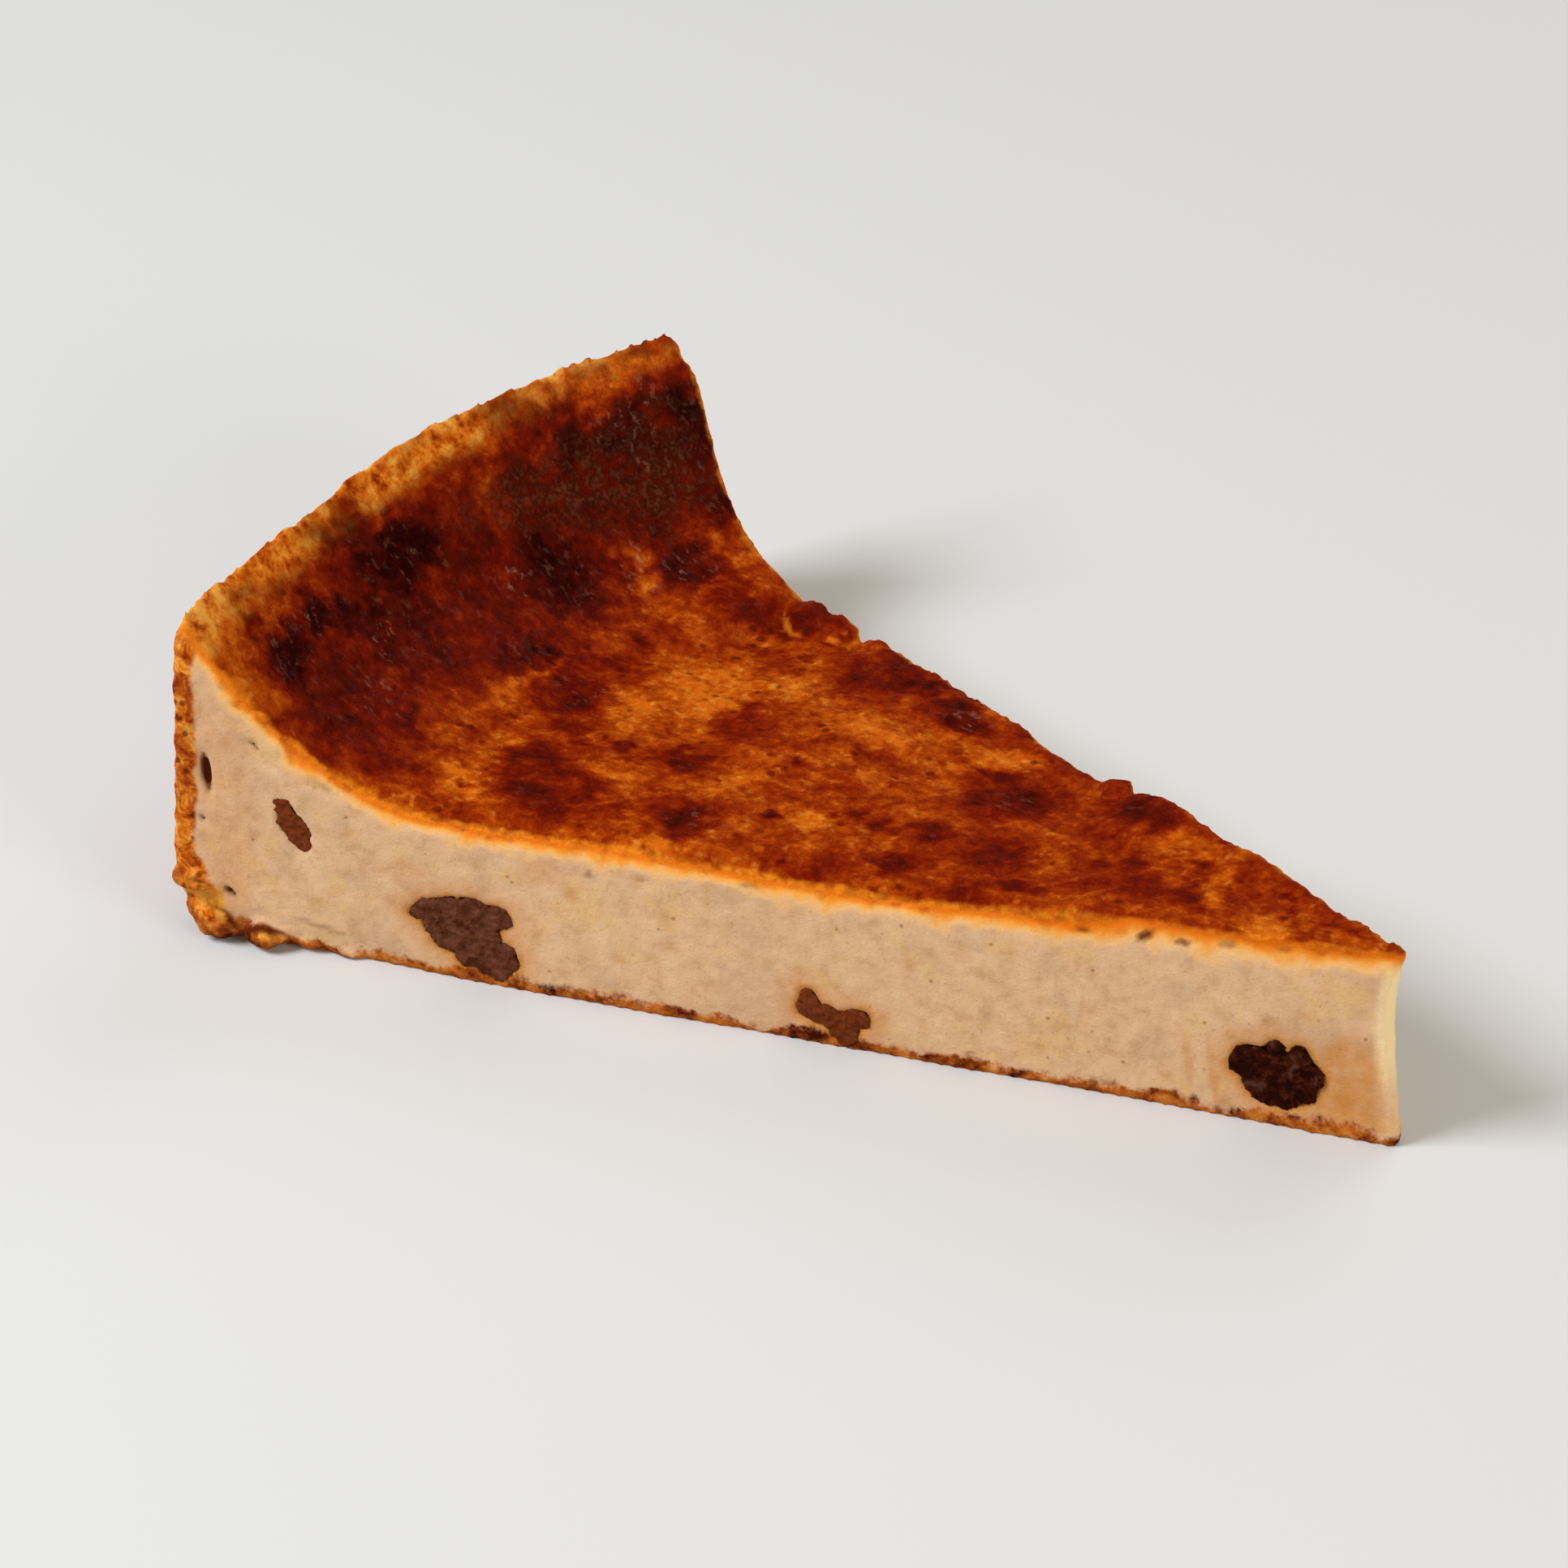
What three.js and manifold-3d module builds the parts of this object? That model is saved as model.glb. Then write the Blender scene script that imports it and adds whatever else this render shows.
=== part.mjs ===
// A wedge of baked bread pudding, cut from a round tin and lying on its flat base.
// Millimetres, +Z up. The tip, which was the middle of the tin, points to +X, and the baked rim is at -X.
// The near cut faces -Y and the far cut faces +Y. Raisins sit in pockets that the knife opened.

import * as THREE from "three";
import { ImprovedNoise } from "three/addons/math/ImprovedNoise.js";
import { mergeVertices } from "three/addons/utils/BufferGeometryUtils.js";
import Module from "manifold-3d";

// Plan of the slice
const TIN_RADIUS = 115.2;
const WEDGE_ANGLE = THREE.MathUtils.degToRad(38.5);
const TIP_X = TIN_RADIUS / 2;
const TIP_BLUNT = 0.35; // this much of the wedge's point is missing
const TIP_SPREAD = 1; // the far cut stands off by this at the tip, which leaves the tip blunt
const TIP_HOLLOW = 1.2; // the tip's edge is drawn in by this between its base and its top
const TIP_HOLLOW_BIAS = 1.6; // above 1, the hollow is deepest above the middle
const TIP_FOOT = 0.8; // the tip's foot reaches out by this

// Height of the top along the two cuts. It is flat in the middle, and climbs to the tip and to the rim.
// Distances are measured from the tip. The sag is a trough in front of the rim's climb.
const NEAR_TOP = { middle: 17.9, tip: 20.6, tipFoot: 52, sag: 0, rim: 36.6, rimFoot: 88, shoulder: 0.4 };
const FAR_TOP = { middle: 15.1, tip: 20.6, tipFoot: 54, sag: 4.1, rim: 32.4, rimFoot: 90.5, shoulder: 2.8 };
const SAG_FROM = 60;
const SAG_TO = 89;
const SHOULDER_AT = 109.5;
const SHOULDER_WIDTH = 3.5;
const FAR_SWELLS = [
  { at: 109.4, width: 2.6, height: 1.9 },
  { at: 104.4, width: 1.4, height: 0.8 },
  { at: 93.4, width: 4.4, height: 2.2 },
  { at: 90.2, width: 1.6, height: 0.9 },
  { at: 83.4, width: 2, height: 0.7 },
  { at: 76, width: 2.4, height: 1 },
  { at: 32.6, width: 5.2, height: 2.1 },
  { at: 20, width: 9, height: 1.1 },
];
const FAR_SWELLS_ACROSS = 0.4; // they fade out over this share of the way back to the near cut
const RIM_DIP = 2; // the rim is this much lower a third of the way along its edge
const RIM_DIP_AT = 0.3;
const RIM_DIP_WIDTH = 0.2;
const RIM_DIP_FROM = 95;
const FAR_BOW = 1.2; // the far cut runs this far inside a straight line at its deepest
const FAR_BOW_AT = 91;
const FAR_BOW_WIDTH = 9;

// Wall, edges, and the unevenness of baked and cut surfaces
const WALL_LEAN = 2; // the wall's foot stands out by this from its top
const WALL_HEIGHT = 34;
const FOOT_CURVE = 1.6; // the wall draws in by this at the base, over FOOT_HEIGHT
const FOOT_HEIGHT = 5;
const HEEL = 1.4; // towards the rim, the foot of each cut draws in by this over HEEL_HEIGHT
const HEEL_HEIGHT = 2.5;
const HEEL_FROM = 84;
const HEEL_TO = 108;
const TOE = 0.6; // towards the tip, the foot of each cut stands out by this over HEEL_HEIGHT
const TOE_FROM = 6;
const TOE_TO = 16;
const RIM_ROUNDING = 0.8;
const RIM_SINK = 1.1;
const WALL_FROM = 0.85; // the wall's shape fades in over the rest of the way to the rim
const CORNER_OUT = 0.6; // the near corner of the rim stands out by this above its foot
const CORNER_OUT_WIDTH = 0.12;
const CORNER_OUT_FROM = 4;
const CORNER_OUT_TO = 9;
const CORNER_ROUNDING = 0.4;
const CUT_EDGE_ROUNDING = 0.5;
const SWELL = { height: 0.55, length: 13, seed: 7.3 };
const BLISTERS = { height: 0.35, length: 5, seed: 2.1 };
const WALL_BUMPS = { height: 0.5, length: 6 };
const FOOT_BUMPS = { height: 1.6, length: 4 };
const CUT_BUMPS = { height: 0.15, length: 9, seed: 20 };
const LUMPS = { height: 0.3, length: 0.6 }; // on a lump of radius 1
const SMALL_LUMP = 2; // lumps shorter than twice this take coarser facets
const BASE_TRIM = 1.5; // the grid starts this far below the base, and is cut off flat there

// Grid of the slice: along, across and up
const ALONG = 58;
const ACROSS = 22;
const UP = 10;
const RIM_GRADING = 1.15; // above 1, the grid is finer towards the rim

const POCKET_GAP = 0.35; // between a raisin and the pudding round it
const FLUSH = 0.2; // a cut raisin stays this far inside the cut

const PUDDING = { color: 0xb9763f, roughness: 0.6, metalness: 0 };
const RAISIN = { color: 0x3a211b, roughness: 0.45, metalness: 0 };

const perlin = new ImprovedNoise();
const manifold = await Module();
manifold.setup();

// Solids

function solidFrom(geometry) {
  const bare = geometry.clone();
  bare.deleteAttribute("normal");
  bare.deleteAttribute("uv");
  const merged = mergeVertices(bare, 1e-4);
  const mesh = new manifold.Mesh({
    numProp: 3,
    vertProperties: new Float32Array(merged.attributes.position.array),
    triVerts: new Uint32Array(merged.index.array),
  });
  return new manifold.Manifold(mesh);
}

function geometryFrom(solid) {
  const mesh = solid.getMesh();
  const positions = new Float32Array(mesh.numVert * 3);
  for (let i = 0; i < mesh.numVert; i++) {
    positions.set(mesh.vertProperties.subarray(i * mesh.numProp, i * mesh.numProp + 3), i * 3);
  }
  const geometry = new THREE.BufferGeometry();
  geometry.setAttribute("position", new THREE.BufferAttribute(positions, 3));
  geometry.setIndex(new THREE.BufferAttribute(mesh.triVerts, 1));
  geometry.computeVertexNormals();
  return geometry;
}

function movePoints(geometry, move) {
  const points = geometry.attributes.position;
  const point = new THREE.Vector3();
  for (let i = 0; i < points.count; i++) {
    move(point.fromBufferAttribute(points, i));
    points.setXYZ(i, point.x, point.y, point.z);
  }
  return geometry;
}

function relief({ height, length }, x, y, z = 0) {
  return height * perlin.noise(x / length, y / length, z / length);
}

function bell(distance, width) {
  return Math.exp(-((distance / width) ** 2));
}

// Shape of the slice

function topAlong(cut, along) {
  const { smoothstep } = THREE.MathUtils;
  const climb = Math.max(0, (along - cut.rimFoot) / (TIN_RADIUS - cut.rimFoot));
  const trough = cut.middle - cut.sag * smoothstep(along, SAG_FROM, SAG_TO);
  return (
    trough +
    (cut.tip - cut.middle) * (1 - smoothstep(along, 0, cut.tipFoot)) +
    (cut.rim - trough) * climb ** 2 +
    cut.shoulder * bell(along - SHOULDER_AT, SHOULDER_WIDTH)
  );
}

function farSwell(along, across) {
  const share = THREE.MathUtils.smoothstep(across, 1 - FAR_SWELLS_ACROSS, 1);
  let swell = 0;
  for (const { at, width, height } of FAR_SWELLS) swell += height * bell(along - at, width);
  return share * swell;
}

// across is 0 on the near cut and 1 on the far one
function topHeight(along, across) {
  const { lerp, smoothstep } = THREE.MathUtils;
  const onRim = smoothstep(along, RIM_DIP_FROM, TIN_RADIUS);
  const dip = RIM_DIP * onRim * bell(across - RIM_DIP_AT, RIM_DIP_WIDTH);
  const top = lerp(topAlong(NEAR_TOP, along), topAlong(FAR_TOP, along), smoothstep(across, 0, 1));
  return top + farSwell(along, across) - dip;
}

const NEAR = -1;
const FAR = 1;

// How far the far cut lies inside a straight one. Near the tip it lies outside, which is below 0.
function farSetIn(along) {
  return FAR_BOW * bell(along - FAR_BOW_AT, FAR_BOW_WIDTH) - TIP_SPREAD * (1 - along / TIN_RADIUS);
}

// How far the tip's edge draws in, from its base at 0 to its top at 1
function tipSetIn(up) {
  return TIP_HOLLOW * Math.sin(Math.PI * up ** TIP_HOLLOW_BIAS) - TIP_FOOT * (1 - up) ** 2;
}

// How far the foot of a cut draws in. Towards the tip it stands out, which is below 0.
function footSetIn(along, z) {
  const { smoothstep } = THREE.MathUtils;
  const heel = HEEL * smoothstep(along, HEEL_FROM, HEEL_TO);
  const toe = TOE * (1 - smoothstep(along, TOE_FROM, TOE_TO));
  return (heel - toe) * Math.max(0, 1 - Math.max(z, 0) / HEEL_HEIGHT) ** 2;
}

function wallOffset(x, y, z, across) {
  const { smoothstep } = THREE.MathUtils;
  const height = Math.max(z, 0);
  const aboveFoot = smoothstep(height, CORNER_OUT_FROM, CORNER_OUT_TO);
  const corner = CORNER_OUT * bell(across, CORNER_OUT_WIDTH) * aboveFoot;
  const foot = Math.max(0, 1 - height / FOOT_HEIGHT) ** 2;
  const lean = WALL_LEAN * (0.5 - height / WALL_HEIGHT);
  return corner + lean + relief(WALL_BUMPS, x, y, z) - foot * (FOOT_CURVE + relief(FOOT_BUMPS, x, y, z));
}

// Point of the slice from three shares: from tip to rim, from near cut to far cut, and from base to top
function slicePoint(toRim, across, up, target) {
  const along = THREE.MathUtils.lerp(TIP_BLUNT, TIN_RADIUS, 1 - (1 - toRim) ** RIM_GRADING);
  const angle = (across - 0.5) * WEDGE_ANGLE;
  const side = 2 * across - 1;
  const onCut = Math.abs(side) === 1;
  const onTop = up === 1;
  const onWall = toRim === 1;
  const x = along * Math.cos(angle);
  const y = along * Math.sin(angle);
  const blisters = relief(SWELL, x, y, SWELL.seed) + relief(BLISTERS, x, y, BLISTERS.seed);
  const top = topHeight(along, across) + blisters;
  const height = THREE.MathUtils.lerp(-BASE_TRIM, top, up);

  let radial = wallOffset(x, y, height, across) * THREE.MathUtils.smoothstep(toRim, WALL_FROM, 1);
  if (onWall && onTop) radial -= RIM_ROUNDING;
  if (toRim === 0) radial += tipSetIn(THREE.MathUtils.clamp(height / top, 0, 1));

  let sideways = -across * farSetIn(along);
  if (onCut) sideways -= side * footSetIn(along, height);
  if (onCut) sideways += relief(CUT_BUMPS, along, CUT_BUMPS.seed * side, height);
  if (onCut && onTop) sideways -= side * CUT_EDGE_ROUNDING;
  if (onCut && onWall) sideways -= side * CORNER_ROUNDING;

  let sink = 0;
  if (onTop && onCut) sink = CUT_EDGE_ROUNDING;
  if (onTop && onWall) sink = RIM_SINK;
  return target.set(
    TIP_X - (along + radial) * Math.cos(angle),
    (along + radial) * Math.sin(angle) + sideways,
    height - sink,
  );
}

function sliceSolid() {
  const grid = new THREE.BoxGeometry(1, 1, 1, ALONG, ACROSS, UP);
  movePoints(grid, (p) => slicePoint(0.5 - p.x, p.y + 0.5, p.z + 0.5, p));
  return solidFrom(grid);
}

// Places on the two cuts: along from the tip, up from the base, and depth into the slice

function alongCut(side) {
  const angle = (side * WEDGE_ANGLE) / 2;
  return new THREE.Vector3(-Math.cos(angle), Math.sin(angle), 0);
}

function cutPoint(side, along, up, depth) {
  const inwards = new THREE.Vector3(-Math.sin(WEDGE_ANGLE / 2), -side * Math.cos(WEDGE_ANGLE / 2), 0);
  const setIn = side === FAR ? farSetIn(along) : 0;
  return new THREE.Vector3(TIP_X, 0, up)
    .addScaledVector(alongCut(side), along)
    .addScaledVector(inwards, depth + setIn);
}

// Turns X along a cut, Y up, and Z square to the cut
function onCutAxes(side) {
  const along = alongCut(side);
  const up = new THREE.Vector3(0, 0, 1);
  return new THREE.Matrix4().makeBasis(along, up, along.clone().cross(up));
}

// A lumpy egg on a cut. long, high and deep are its half sizes, and turn lifts its rim end, in degrees.
function egg(side, { along, up, depth = 0, long, high, deep, turn = 0 }, grow = 0) {
  const tilt = new THREE.Matrix4().makeRotationZ(THREE.MathUtils.degToRad(turn));
  const centre = cutPoint(side, along, up, depth);
  const shape = new THREE.IcosahedronGeometry(1, long < SMALL_LUMP ? 1 : 2);
  movePoints(shape, (p) => {
    const lump = 1 + relief(LUMPS, p.x + along, p.y + up, p.z);
    p.set(p.x * (long * lump + grow), p.y * (high * lump + grow), p.z * (deep * lump + grow));
  });
  shape.applyMatrix4(tilt).applyMatrix4(onCutAxes(side));
  return solidFrom(shape.translate(centre.x, centre.y, centre.z));
}

function joined(solids) {
  return solids.reduce((whole, next) => whole.add(next));
}

// Everything that lies further than depth into the slice from the cut's place at along
function behindCut(side, along, depth) {
  const reach = 2 * TIN_RADIUS;
  const centre = cutPoint(side, along, 0, depth + reach / 2);
  const block = new THREE.BoxGeometry(reach, reach, reach).applyMatrix4(onCutAxes(side));
  return solidFrom(block.translate(centre.x, centre.y, centre.z));
}

// Each raisin is one or more lobes on a cut
const RAISINS = [
  {
    name: "raisin_near_rim",
    side: NEAR,
    lobes: [
      { along: 87.8, up: 6.1, long: 3.3, high: 3, deep: 2.8, turn: 15 },
      { along: 86.3, up: 4.1, long: 2.1, high: 2.1, deep: 2, turn: 0 },
      { along: 84.6, up: 7.5, long: 1.4, high: 1, deep: 1.4, turn: -20 },
      { along: 84.1, up: 2.8, long: 1.9, high: 1.4, deep: 1.6, turn: -45 },
      { along: 91.1, up: 7.6, long: 1.8, high: 0.5, deep: 0.8, turn: -30 },
    ],
  },
  {
    name: "raisin_near_middle",
    side: NEAR,
    lobes: [
      { along: 50.3, up: 3.1, long: 1.8, high: 0.8, deep: 1.5, turn: -25 },
      { along: 50.9, up: 2.1, long: 1.3, high: 1, deep: 1.6, turn: 50 },
      { along: 52.9, up: 3.3, long: 2.1, high: 0.85, deep: 1.6, turn: 15 },
      { along: 54.1, up: 4.4, long: 1.3, high: 0.55, deep: 1, turn: 76 },
    ],
  },
  {
    name: "raisin_near_tip",
    side: NEAR,
    lobes: [
      { along: 10.5, up: 5.3, long: 3.6, high: 2.8, deep: 2, turn: 10 },
      { along: 13.2, up: 6.3, long: 1.9, high: 1.6, deep: 1.4, turn: 50 },
      { along: 8.9, up: 7.6, long: 1.2, high: 0.7, deep: 0.9, turn: 80 },
      { along: 11.1, up: 8, long: 1.1, high: 0.6, deep: 0.8, turn: 80 },
    ],
  },
  {
    name: "raisin_scrap",
    side: NEAR,
    lobes: [
      { along: 103.8, up: 14.1, depth: 0.3, long: 1.6, high: 0.95, deep: 1.1, turn: 60 },
      { along: 104.4, up: 15.5, depth: 0.3, long: 1.3, high: 0.5, deep: 0.8, turn: 75 },
      { along: 103.2, up: 12.9, depth: 0.3, long: 0.9, high: 0.55, deep: 0.8, turn: 60 },
    ],
  },
  {
    name: "raisin_far_rim",
    side: FAR,
    lobes: [{ along: 99, up: 7, long: 4.2, high: 2.6, deep: 2.6, turn: -20 }],
  },
  {
    name: "raisin_far_middle",
    side: FAR,
    lobes: [
      { along: 66, up: 5.4, long: 3.6, high: 2.3, deep: 2.2, turn: 35 },
      { along: 63, up: 3.6, long: 1.8, high: 1.3, deep: 1.5, turn: 10 },
    ],
  },
  {
    name: "raisin_far_tip",
    side: FAR,
    lobes: [{ along: 31, up: 9, long: 4, high: 2.4, deep: 2.1, turn: -35 }],
  },
];

// Crags of baked skin that stand out of the wall's foot, and of the torn edge of the far cut
const CRAGS = [
  { side: NEAR, along: 114.4, up: 6.2, depth: 0.6, long: 2.1, high: 0.9, deep: 2.2, turn: 8 },
  { side: NEAR, along: 112.2, up: 2.2, depth: 0.6, long: 2.6, high: 1.8, deep: 2.3, turn: 20 },
  { side: NEAR, along: 107.2, up: 1.4, depth: 0.4, long: 2.4, high: 1.3, deep: 2.1, turn: -8 },
  { side: NEAR, along: 103, up: 0.9, depth: 0.8, long: 1.6, high: 0.6, deep: 1.1, turn: 0 },
  { side: NEAR, along: 99.2, up: 0.5, depth: 0.8, long: 1.6, high: 0.6, deep: 1, turn: 10 },
  { side: FAR, along: 112.6, up: 2.1, depth: 1, long: 2.1, high: 1.6, deep: 2.1, turn: 30 },
  { side: FAR, along: 106.5, up: 1, depth: 0.9, long: 2.3, high: 1.1, deep: 1.8, turn: 0 },
  { side: FAR, along: 85.2, up: 11.9, depth: 2.3, long: 3.4, high: 1.7, deep: 2.6, turn: 4 },
  { side: FAR, along: 82.2, up: 12.3, depth: 1.7, long: 2.1, high: 1.2, deep: 1.9, turn: -6 },
  { side: FAR, along: 77.3, up: 12.5, depth: 1.4, long: 2.2, high: 0.7, deep: 1.5, turn: -8 },
  { side: FAR, along: 47.1, up: 13.9, depth: 1.1, long: 2.2, high: 0.7, deep: 1.2, turn: 0 },
  { side: FAR, along: 39.9, up: 16.3, depth: 1.5, long: 2.4, high: 1, deep: 1.6, turn: -10 },
];

// Air holes and tears that the knife opened
const HOLES = [
  { side: NEAR, along: 106.9, up: 21.8, long: 2.5, high: 0.45, deep: 1.1, turn: 54 },
  { side: NEAR, along: 101.6, up: 19.2, long: 1.2, high: 0.5, deep: 0.8, turn: 20 },
  { side: NEAR, along: 112.2, up: 18.5, long: 3.1, high: 0.6, deep: 1.2, turn: 84 },
  { side: NEAR, along: 113, up: 23.6, long: 1.3, high: 0.5, deep: 0.9, turn: 84 },
  { side: NEAR, along: 112.9, up: 13.4, long: 0.9, high: 0.5, deep: 0.9, turn: 70 },
  { side: NEAR, along: 110.8, up: 5.4, long: 1.2, high: 0.6, deep: 1, turn: 40 },
  { side: NEAR, along: 70.1, up: 14.8, long: 1.3, high: 0.4, deep: 0.9, turn: 0 },
  { side: FAR, along: 105.5, up: 12.2, long: 1.7, high: 0.6, deep: 1.1, turn: 48 },
  { side: FAR, along: 80.4, up: 9.4, long: 1.2, high: 0.5, deep: 1, turn: -15 },
  { side: FAR, along: 46.5, up: 11, long: 1.3, high: 0.6, deep: 1, turn: 20 },
];

function raisinSolid({ side, lobes }, grow = 0) {
  return joined(lobes.map((lobe) => egg(side, lobe, grow)));
}

function belowBase() {
  const reach = 4 * TIN_RADIUS;
  return solidFrom(new THREE.BoxGeometry(reach, reach, reach).translate(0, 0, -reach / 2));
}

function puddingSolid() {
  const crags = CRAGS.map((crag) => egg(crag.side, crag));
  let solid = joined([sliceSolid(), ...crags]);
  for (const hole of HOLES) solid = solid.subtract(egg(hole.side, hole));
  for (const raisin of RAISINS) solid = solid.subtract(raisinSolid(raisin, POCKET_GAP));
  return solid.subtract(belowBase());
}

function raisinInPocket(raisin) {
  return raisinSolid(raisin).intersect(behindCut(raisin.side, raisin.lobes[0].along, FLUSH));
}

function namedMesh(name, solid, finish) {
  const mesh = new THREE.Mesh(geometryFrom(solid), new THREE.MeshStandardMaterial(finish));
  mesh.name = name;
  return mesh;
}

const slice = new THREE.Group();
slice.add(namedMesh("pudding", puddingSolid(), PUDDING));
for (const raisin of RAISINS) {
  slice.add(namedMesh(raisin.name, raisinInPocket(raisin), RAISIN));
}

// The origin is the middle of the base of the slice's box
const middle = new THREE.Box3().setFromObject(slice).getCenter(new THREE.Vector3());
slice.position.set(-middle.x, -middle.y, 0);

export default slice;
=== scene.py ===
"""A slice of baked bread pudding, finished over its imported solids.

Metres, +Z up, in the frame of the solids. The tip points to +X and the baked rim is at -X. The near cut faces -Y
and the far cut +Y. Sizes in the settings are in metres, and those in the lists of marks are in millimetres.
"""

import math

import bpy
import numpy as np
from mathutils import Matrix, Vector, noise
from mathutils.bvhtree import BVHTree


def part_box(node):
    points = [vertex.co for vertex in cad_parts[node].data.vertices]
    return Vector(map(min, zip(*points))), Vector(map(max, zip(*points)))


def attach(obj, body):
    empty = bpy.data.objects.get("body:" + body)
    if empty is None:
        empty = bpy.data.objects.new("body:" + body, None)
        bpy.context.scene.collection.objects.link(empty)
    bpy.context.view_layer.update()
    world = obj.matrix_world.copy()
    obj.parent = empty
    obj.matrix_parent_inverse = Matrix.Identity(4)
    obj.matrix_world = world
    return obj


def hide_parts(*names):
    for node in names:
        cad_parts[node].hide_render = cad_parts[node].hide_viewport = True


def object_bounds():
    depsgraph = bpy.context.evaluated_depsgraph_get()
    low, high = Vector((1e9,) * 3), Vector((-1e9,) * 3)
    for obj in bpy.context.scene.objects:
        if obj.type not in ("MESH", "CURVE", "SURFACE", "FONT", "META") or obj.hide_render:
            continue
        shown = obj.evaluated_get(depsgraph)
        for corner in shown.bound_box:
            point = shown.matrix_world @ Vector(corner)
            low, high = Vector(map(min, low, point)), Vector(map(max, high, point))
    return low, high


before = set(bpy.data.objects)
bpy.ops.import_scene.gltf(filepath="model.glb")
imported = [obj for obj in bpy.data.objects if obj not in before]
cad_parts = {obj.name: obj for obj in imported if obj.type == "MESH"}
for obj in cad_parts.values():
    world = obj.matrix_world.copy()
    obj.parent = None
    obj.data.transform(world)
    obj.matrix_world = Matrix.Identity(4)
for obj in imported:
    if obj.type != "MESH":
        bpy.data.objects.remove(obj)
CAD_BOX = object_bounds()

bl_info = {
    "name": "Bread pudding slice",
    "version": (1, 0, 0),
    "blender": (4, 5, 0),
    "location": "View3D > Sidebar > Pudding",
    "description": "Finishes a slice of baked bread pudding, its raisins and its stage",
    "category": "Object",
}

MM = 0.001

# Plan of the slice. The wedge's own point lies just inside the foot of the blunt tip.
WEDGE_ANGLE = math.radians(38.5)
TIP_FOOT = 0.4 * MM
APEX_ASIDE = 0.39 * MM
APEX = Vector((CAD_BOX[1].x - TIP_FOOT, APEX_ASIDE, 0))
NEAR = -1
FAR = 1

# How dark and how reddish the flesh of each raisin is
RAISIN_FLESH = {
    "raisin_near_rim": (0.0, 0.1), "raisin_near_middle": (0.0, 0.9), "raisin_near_tip": (1.0, 0.0),
    "raisin_scrap": (0.0, 1.0), "raisin_far_rim": (0.25, 0.3), "raisin_far_middle": (0.9, 0.2),
    "raisin_far_tip": (0.1, 0.6),
}

# Marks on the browned top: x and y of the middle, half sizes along x and y, turn in degrees and strength. Sizes
# are in millimetres. The darkest skin lies in a band behind the rim's edge.
SCORCHES = [
    (-45, 3, 7.5, 11, 0, 0.5),
    (-46, -10, 7.5, 10, 0, 0.54),
    (-42.5, -24, 7, 8.5, 0, 0.5),
    (-50, -5, 2.4, 7.5, 0, 0.93),
    (-47.5, -14.5, 2.6, 4, 0, 0.84),
    (-48.5, -19.5, 1.8, 3.5, 0, 0.8),
    (-46.2, -26, 2, 5.4, 24, 0.88),
    (-43.5, 10.5, 5, 5, 0, 0.9),
    (-38.6, 1.2, 1.4, 1.8, 0, 0.86),
    (-39.5, -0.5, 3, 5, 0, 0.6),
    (-44, 33.3, 3.4, 2.6, 0, 0.85),
    (-46.5, 27.5, 2, 6.5, -15, 0.76),
    (-48.8, 19.5, 2, 3.2, 0, 0.84),
    (-45.5, 23, 4.6, 11, -15, 0.6),
    (-48.6, 13, 3, 5, 0, 0.58),
    (-37.8, 24.3, 3.8, 3.4, 0, 0.8),
    (-40.5, 31.5, 2.4, 3.6, 0, 0.66),
    (-42, 17, 2.8, 3, 0, 0.5),
    (-51.5, 19, 1.4, 7, 0, 0.5),
    (-53.2, -10, 1.6, 5, 0, 0.6),
    (-50.3, -27, 1.2, 5, 15, 0.5),
    (-38, -20, 2.2, 2.8, 0, 0.6),
]
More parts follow.
